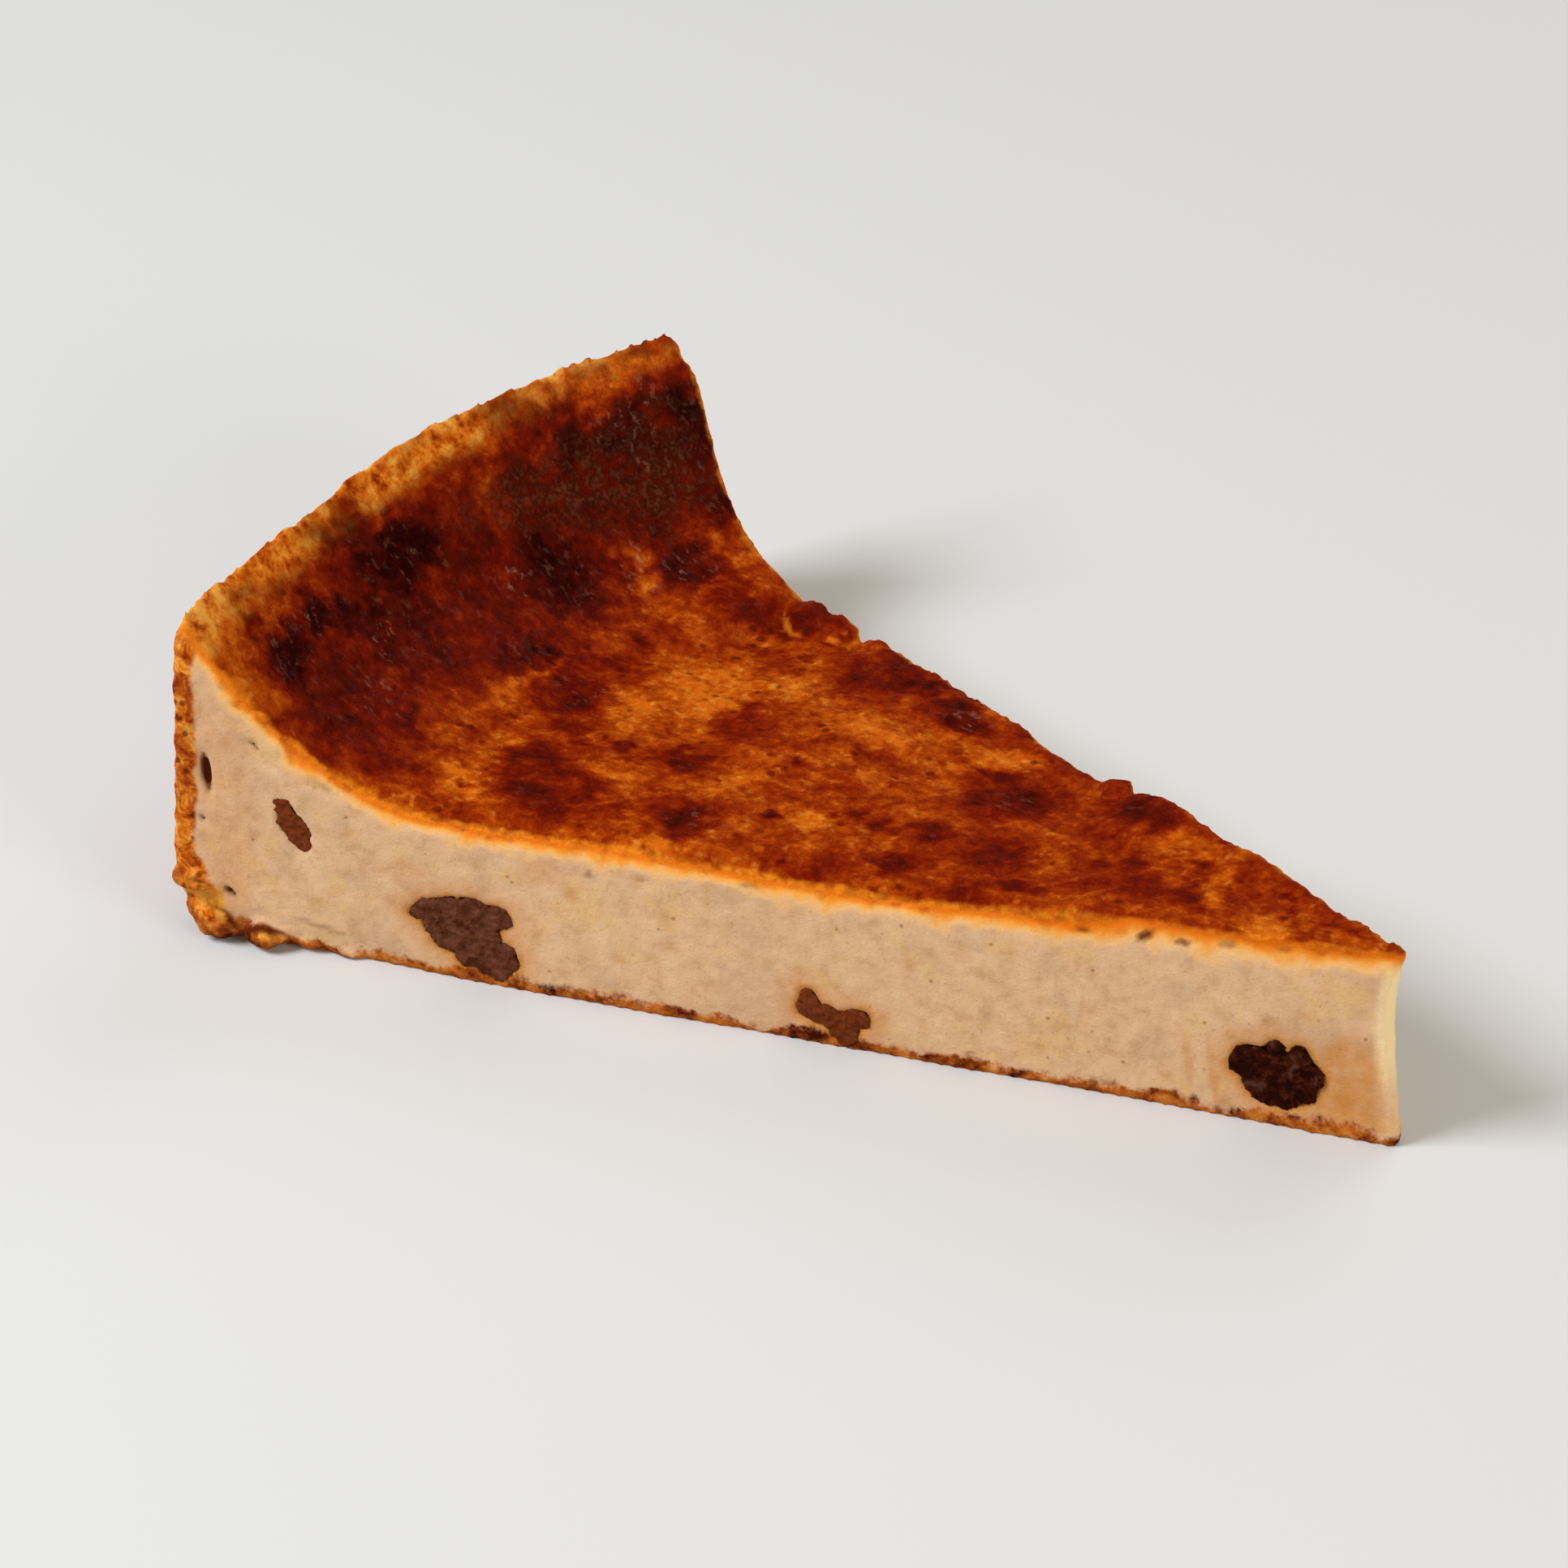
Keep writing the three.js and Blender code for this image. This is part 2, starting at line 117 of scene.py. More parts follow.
BLOTCHES = [
    (-32.5, -1.5, 3.4, 6, 32, 0.5),
    (-27, -8, 4.4, 2.2, -40, 0.44),
    (-32, 5, 3, 3.6, 0, 0.28),
    (-34, 11.7, 1, 0.9, 0, 0.45),
    (-26.5, -15.8, 4.8, 3.8, -10, 0.42),
    (-22, -21, 6, 2.8, -8, 0.52),
    (-18.6, -17.5, 1.7, 2, 0, 0.42),
    (-14.2, -18.2, 1.2, 2, 0, 0.38),
    (-9, -15, 3.6, 3.5, 0, 0.66),
    (-30.5, 23.5, 5, 3, 0, 0.44),
    (-24, 24.5, 4.4, 3, 0, 0.54),
    (-37.5, 31.5, 2, 2.6, 0, 0.36),
    (-11.5, 19.5, 5, 5, 0, 0.46),
    (-6.5, 20, 2.6, 2.4, 0, 0.56),
    (0, 16.6, 5.6, 2.4, -18, 0.58),
    (-15, 3.3, 3.6, 5, 20, 0.34),
    (-15.6, -6.3, 2.4, 2.4, 0, 0.54),
    (-21, -7.8, 0.9, 1, 0, 0.48),
    (-17.4, 7.6, 1.5, 1.1, 0, 0.4),
    (-6.6, -0.3, 1.2, 1.1, 0, 0.4),
    (-2.6, -9.9, 1, 0.9, 0, 0.6),
    (1, -7.2, 0.7, 0.6, 0, 0.46),
    (3.3, -5.2, 1.1, 0.9, 0, 0.54),
    (6.8, -5.5, 1.3, 1.3, 0, 0.44),
    (10.5, -4, 3, 2, 0, 0.48),
    (10.8, -10.4, 1.8, 1.8, 0, 0.52),
    (18.5, -4.5, 4, 4, 0, 0.4),
    (22, -7.4, 2, 1.4, 0, 0.52),
    (12.8, 6, 5, 4.2, 0, 0.5),
    (10, 9.5, 2, 2, 0, 0.5),
    (25.5, 8.9, 4.4, 2.4, -10, 0.52),
    (34.5, 4.3, 1.2, 1, 0, 0.52),
    (43.4, 3.2, 0.8, 0.8, 0, 0.6),
    (45.8, 1.9, 0.6, 1.4, 15, 0.36),
    (41, -0.2, 0.7, 0.7, 0, 0.44),
    (51, 1.8, 1.4, 0.8, 0, 0.4),
    (28.6, 1.2, 1.8, 2.6, 15, 0.4),
    (31.5, -3, 3.2, 3.6, 0, 0.34),
    (36.5, -1.9, 2.8, 1.3, 0, 0.4),
    (18.3, -11, 1.2, 1.3, 0, 0.38),
    (-41, -29, 5.5, 2.8, 10, 0.46),
    (-36.5, -26, 4, 3, 0, 0.4),
    (-28.6, -22.5, 0.6, 0.5, 0, 0.6),
]
PALE_PLACES = [
    (-23, 8, 5, 6, 30, 0.8),
    (-30, -17.5, 1.8, 6, 25, 0.8),
    (-29.5, -22.8, 3, 2, -30, 0.95),
    (-36.2, -6, 0.9, 7, 5, 0.75),
    (-27, 1, 2, 6, 30, 0.55),
    (-16, 12.5, 4, 2, 0, 0.5),
    (-5.5, 9, 5, 3, 0, 0.5),
    (-9, -7, 1.8, 2.6, 0, 0.7),
    (0, -9.2, 2, 1.6, 0, 0.85),
    (8, 12.5, 1.8, 2.2, 0, 0.9),
    (4.4, 7.3, 2.8, 0.8, 20, 0.6),
    (1, 2, 2.4, 3, 0, 0.4),
    (-7, -20.4, 2.2, 1.2, 0, 0.85),
    (12, -13.5, 1.6, 1, 0, 0.85),
    (31.5, 7, 2.8, 1.8, -15, 0.5),
    (32, 2.3, 1.3, 1.8, 0, 0.4),
    (38, 1.3, 1, 3.6, 27, 0.9),
    (44.5, -2.6, 4.6, 1.5, 14, 0.95),
    (54, -0.2, 2.4, 0.8, 0, 0.6),
    (-47, -33, 4, 3.4, 0, 1.0),
    (-19, -13, 2.6, 2, 0, 0.5),
    (-40.3, 19.2, 2.4, 1.6, -50, 1.0),
    (-35.2, 23.3, 1, 0.8, 0, 0.9),
    (-49.4, 29, 1, 5.5, -8, 0.75),
    (-53, 21, 0.9, 5, -12, 0.8),
]
# Where the rim's bright skin is broken by dark skin
RIM_DARKS = [
    (-53.7, -10, 2, 5.5, 0, 0.9),
    (-53.2, 15.5, 2.4, 4, 0, 0.8),
    (-50.8, 23.4, 1.8, 3.4, -10, 0.85),
    (-51, -26, 1.2, 4.5, 15, 0.6),
    (-50, 35, 2.4, 3, 0, 0.8),
    (-55, 2, 1, 3, 0, 0.3),
]
# Where the rim is golden
RIM_GOLDS = [
    (-53.6, -33.5, 3.8, 5, 0, 1.0),
    (-56, -20, 1.4, 9, 10, 0.6),
    (-56.8, 3, 1.4, 6, 0, 0.7),
    (-56, 12, 1.6, 5, 0, 0.8),
    (-54.4, 21.5, 1.6, 5, -12, 1.0),
    (-52.6, 28.5, 1.4, 3.4, -14, 0.7),
]
# Where the scorched skin shines most, in painted glints
GLINTS = [
    (-45, 5.5, 2, 2.4, 0, 0.8),
    (-47.6, -23, 1.6, 4.6, 15, 1.0),
    (-46.3, -14.5, 2, 3.4, 0, 0.8),
    (-37.4, 24, 2.8, 2.8, 0, 0.8),
    (-49.5, -4, 1.4, 5, 0, 0.4),
    (-47, 27, 3, 6, -15, 0.45),
    (-41, -20, 3, 5, 0, 0.4),
    (-40.3, 19.2, 2.6, 1.8, -50, 1.0),
    (-8, -15.5, 3, 3, 0, 0.3),
    (1, 16.4, 4, 2, -18, 0.5),
    (-31, -1, 3, 4, 30, 0.35),
]
# Marks on the cuts: side, along from the apex and up from the base, half length, half height and turn in
# degrees that lifts the rim end, and strength
# Slits in the cuts, painted dark with the shade that lies in them
SLIT_SHADES = [
    (NEAR, 109.9, 28.6, 0.5, 0.5, 0, 0.5),
    (NEAR, 101, 19.4, 1.3, 0.5, 20, 0.4),
    (NEAR, 75.1, 14.6, 0.5, 0.45, 0, 0.5),
    (NEAR, 59.9, 16.3, 0.9, 0.35, 0, 0.45),
    (NEAR, 29, 17.8, 0.7, 0.4, 0, 0.75),
    (NEAR, 23.4, 18.2, 0.85, 0.45, -35, 0.95),
    (NEAR, 20, 18.2, 0.7, 0.4, 0, 0.75),
    (NEAR, 16, 18.8, 0.9, 0.5, 0, 0.5),
    (NEAR, 11, 19.4, 0.8, 0.45, 0, 0.65),
    (NEAR, 7.7, 19.6, 0.7, 0.45, 0, 0.6),
    (NEAR, 27.5, 0.9, 0.35, 0.9, 0, 0.6),
    (NEAR, 101.5, 3.4, 2.6, 0.3, 12, 0.4),
    (FAR, 104, 22, 0.5, 1.4, 20, 0.5),
    (FAR, 96.4, 9.6, 1.2, 0.4, 15, 0.5),
    (FAR, 71, 11.6, 0.9, 0.4, -10, 0.6),
    (FAR, 58.6, 11.9, 0.7, 0.4, 0, 0.5),
    (FAR, 24.5, 16.9, 0.9, 0.45, 20, 0.7),
    (FAR, 17, 17.4, 0.7, 0.4, 0, 0.6),
    (FAR, 9, 18.2, 0.8, 0.4, -15, 0.6),
]
TINTS = [
    (NEAR, 4.6, 6.4, 4, 4.6, 0, 0.75),
    (NEAR, 7, 2.4, 8, 2, 0, 0.65),
    (NEAR, 12, 9.2, 4, 1.2, 0, 0.4),
    (NEAR, 16.6, 5, 0.5, 3.6, -8, 0.55),
    (NEAR, 18.9, 5.4, 0.45, 3.2, -8, 0.4),
    (NEAR, 79.4, 13.9, 2.2, 1.6, 0, 0.35),
    (NEAR, 92.8, 11.6, 2.2, 1.5, 0, 0.28),
    (NEAR, 110.5, 14, 2.6, 15, 0, 0.28),
    (FAR, 76, 8.6, 2.4, 1.6, 0, 0.35),
    (FAR, 47, 6, 1.8, 1.8, 0, 0.3),
    (FAR, 13, 8, 3, 2.2, 20, 0.4),
]
HALO = 3.4  # how far a raisin tints the crumb round it, in millimetres
# Dull brown film that lies over the scorched skin towards the far cut, partly ash and partly a painted sheen
ASH_AND_SHEEN = [
    (-44.5, 28, 3, 6, -15, 1.0),
    (-46.8, 20, 2.4, 6.5, -15, 1.0),
    (-49, 12, 1.5, 6, -8, 0.8),
    (-50, 5, 0.9, 4, 0, 0.5),
]
# More places on the slice, in millimetres. What lies further inside a cut's flat plane than HOLLOW_FROM is a
# hollow, and the far cut is bowed.
HOLLOW_FROM = {NEAR: -0.5, FAR: -1.9}
TIP_HEIGHT = 20.2
TIP_REACH = 3.5  # the blunt tip's own face ends here
TORN_FROM = 94  # crust hangs out past the cuts only this far from the apex
SKIN_ABOVE = 9  # nothing below this height is skin of the top
WALL_FROM = 100
RIM_FROM = 110.4  # the rim's bright skin starts here and is full at RIM_TO
RIM_TO = 112.2
# Cosines of the most that a face of a cut, of the wall or of the top turns from square to it
CUT_FACING = 0.85
WALL_FACING = 0.5
TOP_FACING = 0.3


# Settings that a user would change


class PuddingSizes(bpy.types.PropertyGroup):
    grain: bpy.props.FloatProperty(
        name="Grain", description="Edge length of the finished mesh", default=0.46 * MM, unit="LENGTH"
    )
    wrinkle: bpy.props.FloatProperty(
        name="Wrinkle", description="Height of the wrinkles in scorched skin", default=0.4 * MM, unit="LENGTH"
    )
    blister: bpy.props.FloatProperty(
        name="Blister", description="Height of the low blisters all over the top", default=0.55 * MM, unit="LENGTH"
    )
    crust_bump: bpy.props.FloatProperty(
        name="Crust bump", description="Height of the bumps on the baked wall", default=0.5 * MM, unit="LENGTH"
    )
    crumb_bump: bpy.props.FloatProperty(
        name="Crumb bump", description="Height of the unevenness of a cut", default=0.2 * MM, unit="LENGTH"
    )
    raggedness: bpy.props.FloatProperty(
        name="Raggedness", description="Height of the torn skin along the cuts", default=0.7 * MM, unit="LENGTH"
    )
    pock_depth: bpy.props.FloatProperty(
        name="Pock depth", description="Depth of pocks in skin and crust", default=0.25 * MM, unit="LENGTH"
    )
    crust_thickness: bpy.props.FloatProperty(
        name="Crust thickness", description="Thickness of the wall's crust", default=2.3 * MM, unit="LENGTH"
    )


class PuddingColours(bpy.types.PropertyGroup):
    crumb: bpy.props.FloatVectorProperty(
        name="Crumb", description="Cut crumb", subtype="COLOR", default=(0.7, 0.438, 0.26)
    )
    crumb_grey: bpy.props.FloatVectorProperty(
        name="Grey crumb", description="Duller patches of crumb", subtype="COLOR", default=(0.63, 0.395, 0.24)
    )
    crumb_yellow: bpy.props.FloatVectorProperty(
        name="Yellow crumb", description="Warmer patches of crumb", subtype="COLOR", default=(0.71, 0.44, 0.205)
    )
    tan: bpy.props.FloatVectorProperty(
        name="Tan", description="Crumb that the raisins have stained", subtype="COLOR", default=(0.56, 0.22, 0.045)
    )
    edge_cream: bpy.props.FloatVectorProperty(
        name="Edge cream", description="Crumb under the yellow edge", subtype="COLOR", default=(0.86, 0.5, 0.2)
    )
    edge_yellow: bpy.props.FloatVectorProperty(
        name="Edge yellow", description="Crumb just under the skin", subtype="COLOR", default=(0.88, 0.36, 0.05)
    )
    edge_orange: bpy.props.FloatVectorProperty(
        name="Edge orange", description="Cut edge of the skin", subtype="COLOR", default=(0.8, 0.19, 0.01)
    )
    golden: bpy.props.FloatVectorProperty(
        name="Golden", description="Palest skin of the top", subtype="COLOR", default=(0.62, 0.135, 0.006)
    )
    amber: bpy.props.FloatVectorProperty(
        name="Amber", description="Usual skin of the top", subtype="COLOR", default=(0.42, 0.062, 0.0015)
    )
    brown: bpy.props.FloatVectorProperty(
        name="Brown", description="Browned blotches", subtype="COLOR", default=(0.17, 0.008, 0.0006)
    )
    scorch: bpy.props.FloatVectorProperty(
        name="Scorch", description="Scorched skin", subtype="COLOR", default=(0.088, 0.005, 0.0014)
    )
    char: bpy.props.FloatVectorProperty(
        name="Char", description="Darkest scorched skin", subtype="COLOR", default=(0.03, 0.0014, 0.0005)
    )
    rim: bpy.props.FloatVectorProperty(
        name="Rim", description="Bright skin along the rim", subtype="COLOR", default=(0.8, 0.24, 0.016)
    )


class RaisinColours(bpy.types.PropertyGroup):
    flesh: bpy.props.FloatVectorProperty(
        name="Flesh", description="Cut flesh of a raisin", subtype="COLOR", default=(0.13, 0.041, 0.022)
    )
    skin: bpy.props.FloatVectorProperty(
        name="Skin", description="Dark skin of a raisin", subtype="COLOR", default=(0.1, 0.026, 0.008)
    )


class StageSettings(bpy.types.PropertyGroup):
    eye: bpy.props.FloatVectorProperty(
        name="Eye", description="Camera's place from the apex", subtype="XYZ", unit="LENGTH",
        default=(169.2 * MM, -328.2 * MM, 286.2 * MM),
    )
    heading: bpy.props.FloatProperty(
        name="Heading", description="Camera's turn from +Y towards -X", subtype="ANGLE", unit="ROTATION",
        default=math.atan2(0.4832, 0.672),
    )
    dip: bpy.props.FloatProperty(
        name="Dip", description="How far the camera looks down", subtype="ANGLE", unit="ROTATION",
        default=math.radians(34.095),
    )
    lens: bpy.props.FloatProperty(name="Lens", description="Focal length, on a 36 mm sensor", default=119.25)
    floor: bpy.props.FloatVectorProperty(
        name="Floor", description="Colour of the floor", subtype="COLOR", default=(0.675, 0.69, 0.725)
    )
    sky: bpy.props.FloatProperty(name="Sky", description="Strength of the light from all round", default=0.36)


# Small helpers for modelling


def deselect_all():
    if bpy.context.object and bpy.context.object.mode != "OBJECT":
        bpy.ops.object.mode_set(mode="OBJECT")
    bpy.ops.object.select_all(action="DESELECT")


def make_active(piece):
    deselect_all()
    piece.select_set(True)
    bpy.context.view_layer.objects.active = piece


def copy_of_node(node, name):
    """A merged copy of a CAD node's mesh, as a new object that is active."""
    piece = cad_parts[node].copy()
    piece.data = piece.data.copy()
    piece.name = name
    piece.data.name = name
    for key in list(piece.keys()):
        del piece[key]
    piece.parent = None
    piece.hide_render = False
    piece.hide_viewport = False
    piece.data.materials.clear()
    bpy.context.scene.collection.objects.link(piece)
    make_active(piece)
    bpy.ops.object.mode_set(mode="EDIT")
    bpy.ops.mesh.select_all(action="SELECT")
    bpy.ops.mesh.remove_doubles(threshold=0.01 * MM)
    bpy.ops.object.mode_set(mode="OBJECT")
    bpy.ops.object.shade_smooth()
    return piece


def modify(piece, kind, **settings):
    """Adds a modifier, sets it and applies it."""
    make_active(piece)
    modifier = piece.modifiers.new(kind.title(), kind)
    for name, value in settings.items():
        setattr(modifier, name, value)
    bpy.ops.object.modifier_apply(modifier=modifier.name)


def remesh(piece, voxel):
    modify(piece, "REMESH", mode="VOXEL", voxel_size=voxel, adaptivity=0, use_smooth_shade=True)


def points_of(piece):
    """Vertices in millimetres, one row each."""
    count = len(piece.data.vertices)
    points = np.empty(count * 3)
    piece.data.vertices.foreach_get("co", points)
    return points.reshape(count, 3) / MM


def normals_of(piece):
    normals = np.empty(len(piece.data.vertices) * 3)
    piece.data.vertices.foreach_get("normal", normals)
    return normals.reshape(-1, 3)


def set_points(piece, points):
    piece.data.vertices.foreach_set("co", (points * MM).ravel())
    piece.data.update()


def store(piece, name, values):
    """Keeps one number for each vertex, for the material to read."""
    attribute = piece.data.attributes.get(name) or piece.data.attributes.new(name, "FLOAT", "POINT")
    attribute.data.foreach_set("value", np.asarray(values, dtype=np.float32))


def smooth(values, low, high):
    """0 below low and 1 above high, with an eased step between."""
    share = np.clip((values - low) / (high - low), 0, 1)
    return share * share * (3 - 2 * share)


def grained(points, size, seed=0.0):
    """Smooth noise from about -1 to 1 with features of a size in millimetres."""
    offset = Vector((seed, 2 * seed, 3 * seed))
    return np.array([noise.noise(Vector(p) / size + offset) for p in points])


def displace(piece, weights, texture, height, middle=0.5):
    """Moves vertices along their normals by a texture, as far as their weights allow."""
    group = piece.vertex_groups.new(name="where")
    steps = np.round(np.clip(weights, 0, 1) * 20).astype(int)
    for step in range(1, 21):
        chosen = np.flatnonzero(steps == step)
        if len(chosen):
            group.add(chosen.tolist(), step / 20, "REPLACE")
    modify(
        piece, "DISPLACE", texture=texture, texture_coords="LOCAL", strength=height, mid_level=middle,
        vertex_group=group.name,
    )
    piece.vertex_groups.remove(piece.vertex_groups["where"])


def clouds(name, size, depth=2):
    texture = bpy.data.textures.new(name, "CLOUDS")
    texture.noise_scale = size
    texture.noise_depth = depth
    return texture


def ridges(name, size):
    texture = bpy.data.textures.new(name, "MUSGRAVE")
    texture.musgrave_type = "RIDGED_MULTIFRACTAL"
    texture.noise_scale = size
    texture.noise_intensity = 0.6
    texture.octaves = 3
    return texture


def pocks(name, size):
    """Round dimples: dark at the middle of each cell, and flat from halfway out."""
    texture = bpy.data.textures.new(name, "VORONOI")
    texture.noise_scale = size
    texture.use_color_ramp = True
    texture.color_ramp.elements[0].position = 0
    texture.color_ramp.elements[0].color = (0, 0, 0, 1)
    texture.color_ramp.elements[1].position = 0.5
    texture.color_ramp.elements[1].color = (1, 1, 1, 1)
    return texture


# Places on the slice


def plan(points):
    """Distance from the apex in millimetres, and share from near cut to far cut."""
    ahead = APEX.x / MM - points[:, 0]
    aside = points[:, 1] - APEX.y / MM
    return np.hypot(ahead, aside), np.arctan2(aside, ahead) / WEDGE_ANGLE + 0.5


def out_of_cut(side):
    """Square to a cut, pointing away from the slice."""
    return Vector((math.sin(WEDGE_ANGLE / 2), side * math.cos(WEDGE_ANGLE / 2), 0))


class Surfaces:
    """Distances to the skin on top, the baked wall and the two cuts of the CAD slice."""

    def __init__(self, piece):
        mesh = piece.data
        corners = [v.co / MM for v in mesh.vertices]
        whole = BVHTree.FromPolygons(corners, [tuple(p.vertices) for p in mesh.polygons])
        found = {"top": [], "wall": [], "cut": []}
        for face in mesh.polygons:
            centre = face.center / MM
            outward = Vector((centre.x - APEX.x / MM, centre.y - APEX.y / MM, 0))
            side = NEAR if centre.y < APEX.y / MM else FAR
            inside = centre - 0.7 * out_of_cut(side) + Vector((0, 0, 0.8))
            open_above = whole.ray_cast(inside, Vector((0, 0, 1)))[0] is None
            if face.normal.dot(out_of_cut(side)) > CUT_FACING:
                if (centre - APEX / MM).dot(out_of_cut(side)) > HOLLOW_FROM[side]:
                    found["cut"].append(tuple(face.vertices))
            elif face.normal.z > TOP_FACING and centre.z > SKIN_ABOVE and open_above:
                found["top"].append(tuple(face.vertices))
            elif outward.length > WALL_FROM and face.normal.dot(outward.normalized()) > WALL_FACING:
                if whole.ray_cast(centre + 0.05 * face.normal, outward)[0] is None:
                    found["wall"].append(tuple(face.vertices))
        self.trees = {name: BVHTree.FromPolygons(corners, faces) for name, faces in found.items()}

    def distances(self, name, points):
        tree = self.trees[name]
        return np.array([tree.find_nearest(Vector(p))[3] for p in points])


def marks(points, places):
    """How strongly each point lies in a list of marks on the top, with ragged outlines."""
    x = points[:, 0] + 1.1 * grained(points, 4, 3.1) + 1.3 * grained(points, 1.6, 5.3)
    y = points[:, 1] + 1.1 * grained(points, 4, 7.7) + 1.3 * grained(points, 1.6, 9.1)
    found = np.zeros(len(points))
    for at_x, at_y, long, wide, turn, strength in places:
        turned = math.radians(turn)
        one = (x - at_x) * math.cos(turned) + (y - at_y) * math.sin(turned)
        other = (y - at_y) * math.cos(turned) - (x - at_x) * math.sin(turned)
        found = np.maximum(found, strength * (1 - smooth(np.hypot(one / long, other / wide), 0.3, 1.5)))
    return found


def beyond_cuts(points):
    """How far each point stands out past the flat planes of the two cuts, in millimetres."""
    away = points - np.array(APEX) / MM
    return np.maximum(away @ np.array(out_of_cut(NEAR)), away @ np.array(out_of_cut(FAR)))


def cut_marks(points, places):
    """How strongly each point lies in a list of marks on the cuts."""
    along, across = plan(points)
    up = points[:, 2]
    left = np.ones(len(points))
    for side, at, height, long, high, turn, strength in places:
        turned = math.radians(turn)
        one = (along - at) * math.cos(turned) + (up - height) * math.sin(turned)
        other = (up - height) * math.cos(turned) - (along - at) * math.sin(turned)
        inside = 1 - smooth(np.hypot(one / long, other / high), 0.55, 1.35)
        left *= 1 - strength * inside * ((across < 0.5) == (side == NEAR))
    return 1 - left


def halos(points):
    """How strongly the nearest raisin tints each point."""
    closest = np.full(len(points), HALO)
    for name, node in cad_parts.items():
        if name.startswith("raisin_") and name != "raisin_scrap":
            corners = [node.matrix_world @ v.co / MM for v in node.data.vertices]
            tree = BVHTree.FromPolygons(corners, [tuple(p.vertices) for p in node.data.polygons])
            found = (tree.find_nearest(Vector(p), HALO)[3] for p in points)
            closest = np.minimum(closest, [HALO if distance is None else distance for distance in found])
    return np.maximum(0.6 * (1 - smooth(closest, 0.3, HALO)), 1 - smooth(closest, 0.6, 1.5))


# Shades that the settings leave alone
CRUMB_MOTTLE = (0.5, 0.26, 0.115)
CRUMB_LIGHT = (0.8, 0.56, 0.35)
CRUMB_BLOT = (0.5, 0.23, 0.08)
CRUMB_GRAIN = (0.4, 0.2, 0.09)
SPICE = (0.22, 0.1, 0.05)
PAINTED_TIP_LIGHT = (0.9, 0.7, 0.4)
HOLLOW_SHADE = (0.1, 0.016, 0.004)
RUDDY_SKIN = (0.27, 0.024, 0.0008)
SKIN_CLUMP = (0.78, 0.3, 0.035)
SKIN_SPOT = (0.09, 0.003, 0.0004)
LIT_EDGE = (0.82, 0.25, 0.013)
DULL_ORANGE = (0.5, 0.085, 0.006)
TIP_ORANGE = (0.68, 0.15, 0.006)
DULL_YELLOW = (0.66, 0.22, 0.03)
TIP_YELLOW = (0.8, 0.31, 0.045)
RIM_BROWN = (0.26, 0.025, 0.0014)
RIM_RED = (0.58, 0.11, 0.005)
RIM_YELLOW = (0.92, 0.45, 0.07)
RIM_GILT = (0.9, 0.45, 0.085)
DARK_ASH_SHEEN = (0.075, 0.013, 0.005)
LIGHT_ASH_SHEEN = (0.15, 0.045, 0.02)
GLINT = (0.46, 0.2, 0.13)
CRUST_TONES = [
    (0.33, (0.11, 0.007, 0.002)), (0.42, (0.34, 0.045, 0.004)), (0.53, (0.64, 0.17, 0.012)),
    (0.66, (0.85, 0.42, 0.07)),
]
CRUST_FLAKE = (0.74, 0.36, 0.05)
CRUST_PIT = (0.09, 0.008, 0.003)
CRUST_BROWN = (0.2, 0.03, 0.006)
BASE_TONES = [
    (0.36, (0.05, 0.006, 0.002)), (0.45, (0.25, 0.05, 0.007)), (0.56, (0.5, 0.14, 0.018)),
    (0.7, (0.66, 0.28, 0.06)),
]
FLESH_DARK = (0.07, 0.018, 0.009)
FLESH_LIGHT = (0.17, 0.062, 0.038)
FLESH_RED = (0.19, 0.034, 0.005)
RIPE_DARK = (0.018, 0.0028, 0.001)
RIPE_EDGE = (0.06, 0.009, 0.0022)


# Materials


